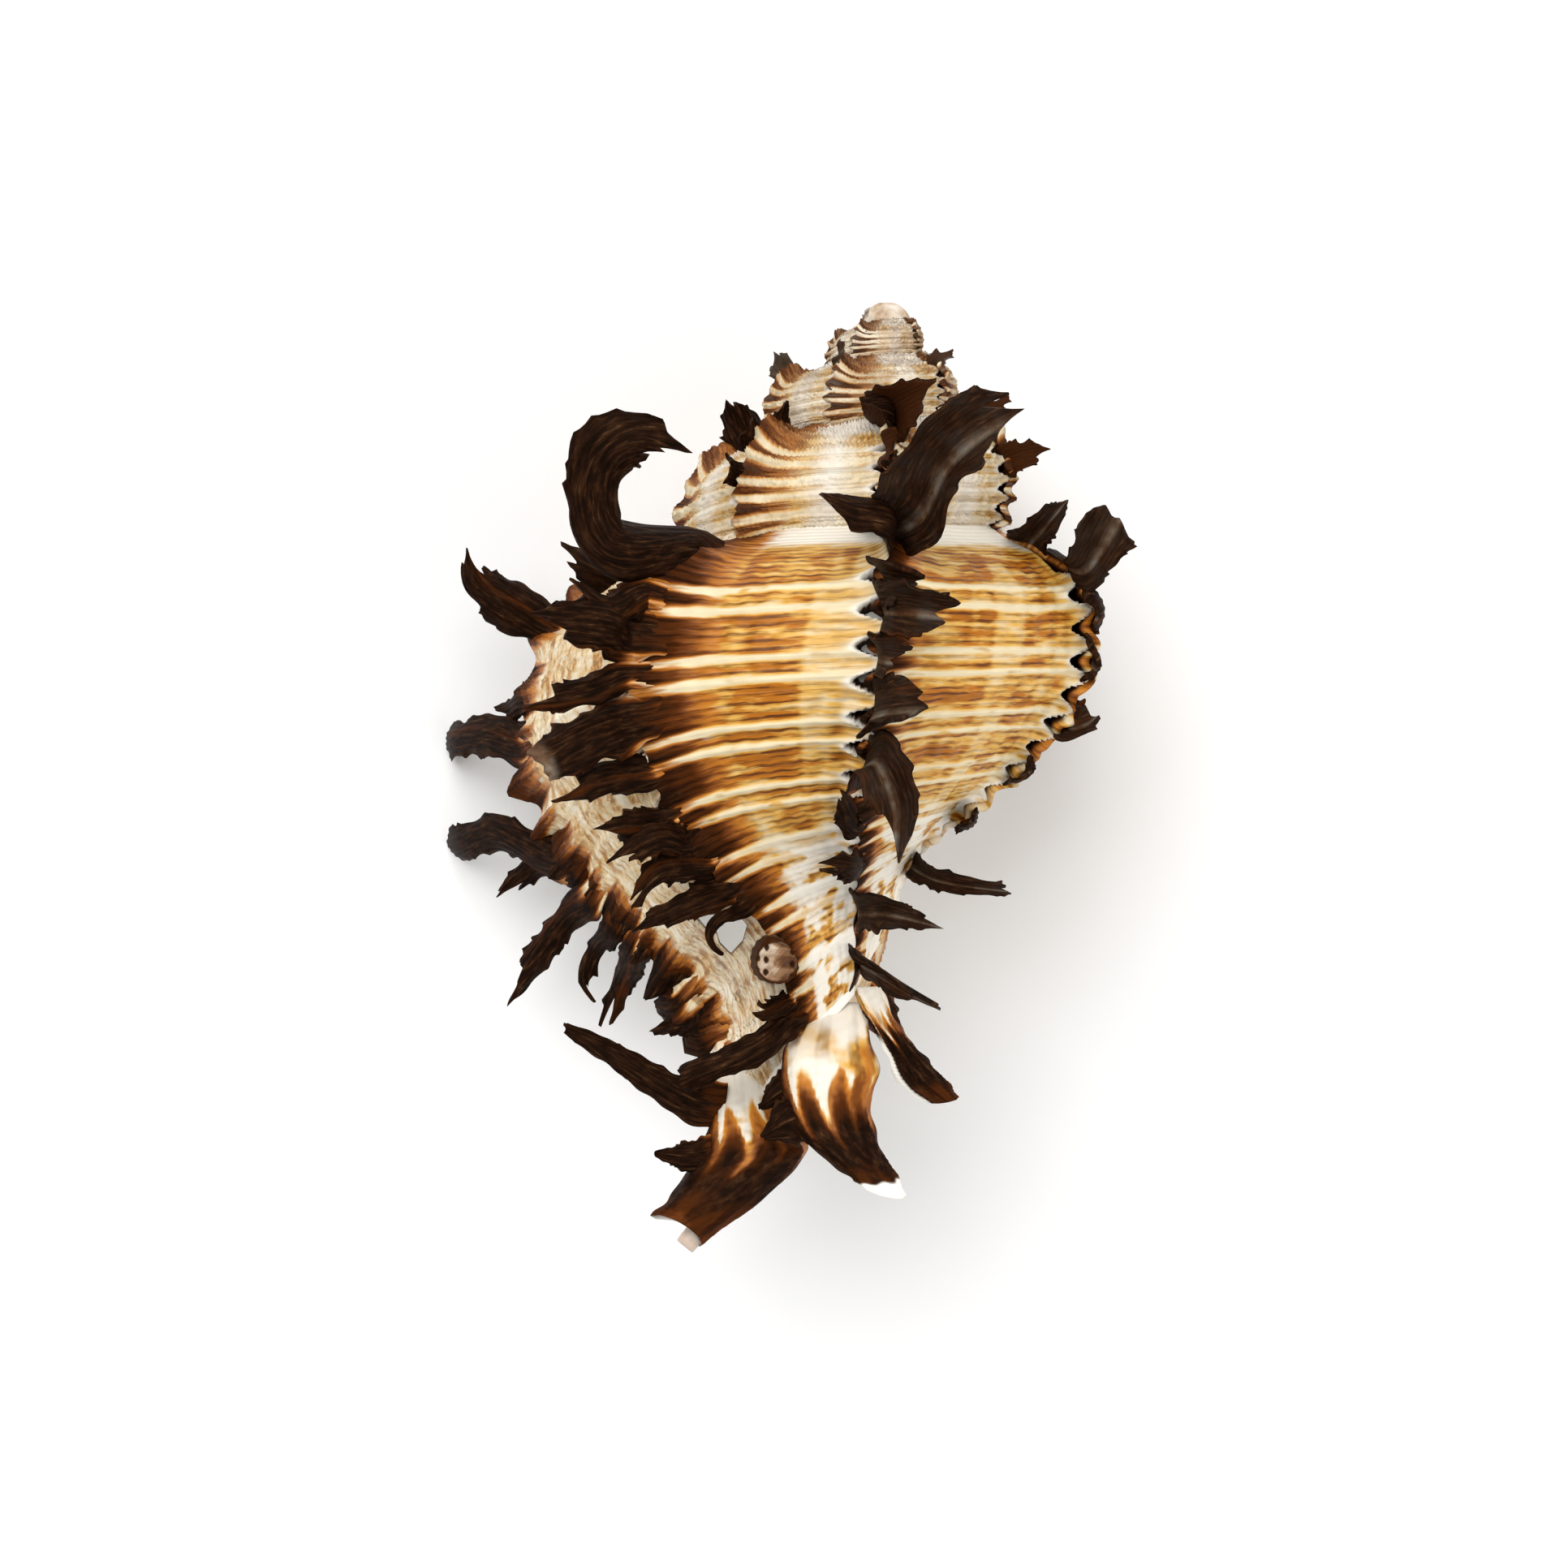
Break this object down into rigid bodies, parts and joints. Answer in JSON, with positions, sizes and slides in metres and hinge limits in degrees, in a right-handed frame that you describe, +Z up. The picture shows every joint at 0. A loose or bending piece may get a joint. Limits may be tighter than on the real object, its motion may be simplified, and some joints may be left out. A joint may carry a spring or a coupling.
{
  "type": "endive murex shell",
  "caption": "Spiny sea snail shell with leafy fronds in rows, banded brown on cream, lying on its mouth, to display or hold.",
  "frame": {"origin": "on the surface that the shell lies on, under the middle of its outline seen from above", "axes": "+Y towards the tip of the spire, +X to the right seen from above, +Z up, away from the mouth"},
  "size_m": [0.0652, 0.0886, 0.0553],
  "materials": {
    "shell": "cream cords over golden tan with fine dark brown lines, chocolate fronds, white inside the mouth, half matt"
  },
  "bodies": {
    "root": {"shell": "shell"}
  },
  "joints": []
}
